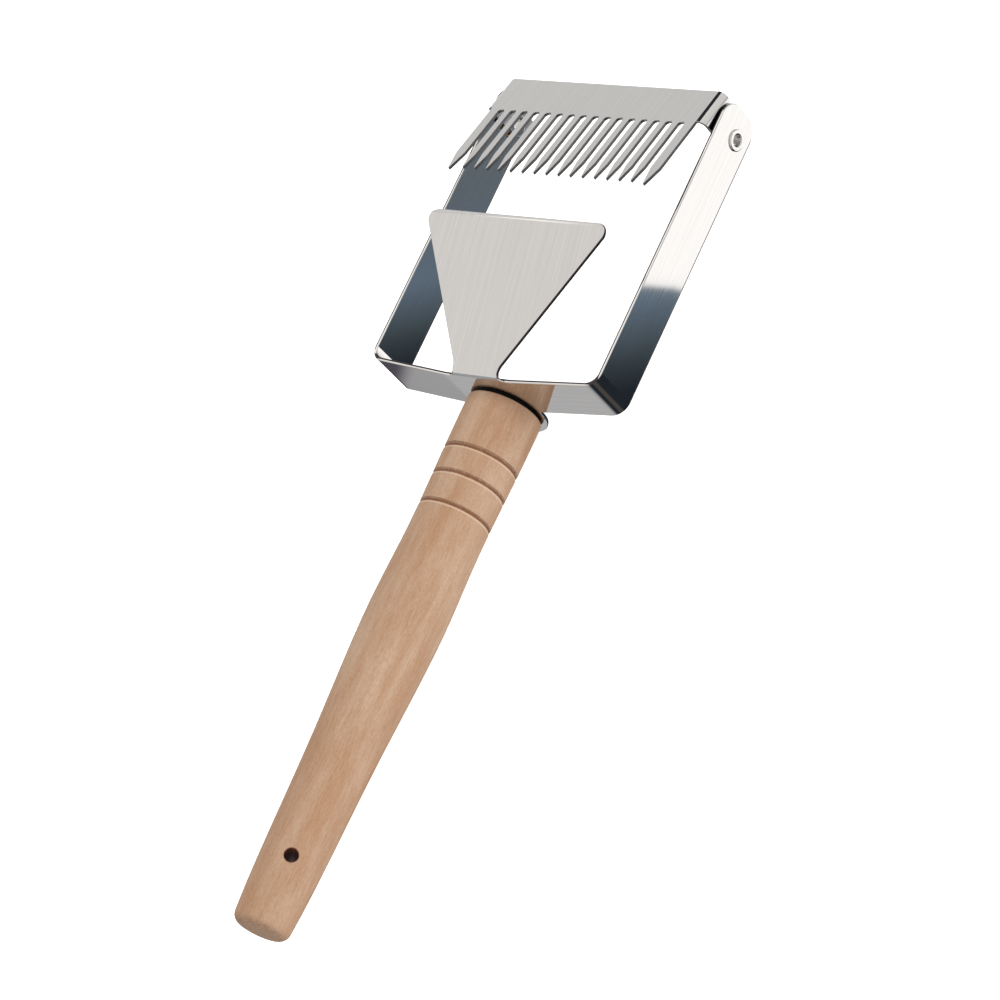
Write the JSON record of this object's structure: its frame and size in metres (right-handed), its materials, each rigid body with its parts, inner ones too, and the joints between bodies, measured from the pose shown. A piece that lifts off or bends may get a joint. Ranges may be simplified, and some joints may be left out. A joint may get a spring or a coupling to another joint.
{
  "type": "uncapping comb and scraper",
  "caption": "Beekeeper's hand tool: turned wooden handle, U-shaped steel frame with a triangular scraper blade, and a toothed comb that swings on rivets.",
  "frame": {"origin": "centre of the hanging hole, on the handle's axis", "axes": "+Y along the handle to the comb, +Z to the side that the scraper rises to, +X to the right"},
  "size_m": [0.102, 0.3182, 0.0508],
  "materials": {
    "frame_steel": "fine brushed, nearly mirror bright",
    "comb_steel": "satin brushed",
    "rivet_steel": "polished nickel plate",
    "spacer_brass": "plain",
    "handle_wood": "sanded beech, uncoated",
    "washer_rubber": "matt black",
    "screw_steel": "bright zinc"
  },
  "bodies": {
    "frame": {"frame_strip": "frame_steel", "right_rivet": "rivet_steel", "left_rivet": "rivet_steel", "right_spacer": "spacer_brass", "left_spacer": "spacer_brass", "handle": "handle_wood", "handle_washer": "washer_rubber", "screw_washer": "screw_steel", "handle_screw": "screw_steel"},
    "comb": {"comb": "comb_steel"}
  },
  "joints": [
    {"name": "comb_pivot", "type": "hinge", "parent": "frame", "child": "comb", "pos_m": [0, 0.28205, 0.0074], "axis": [1, 0, 0], "continuous": true}
  ]
}
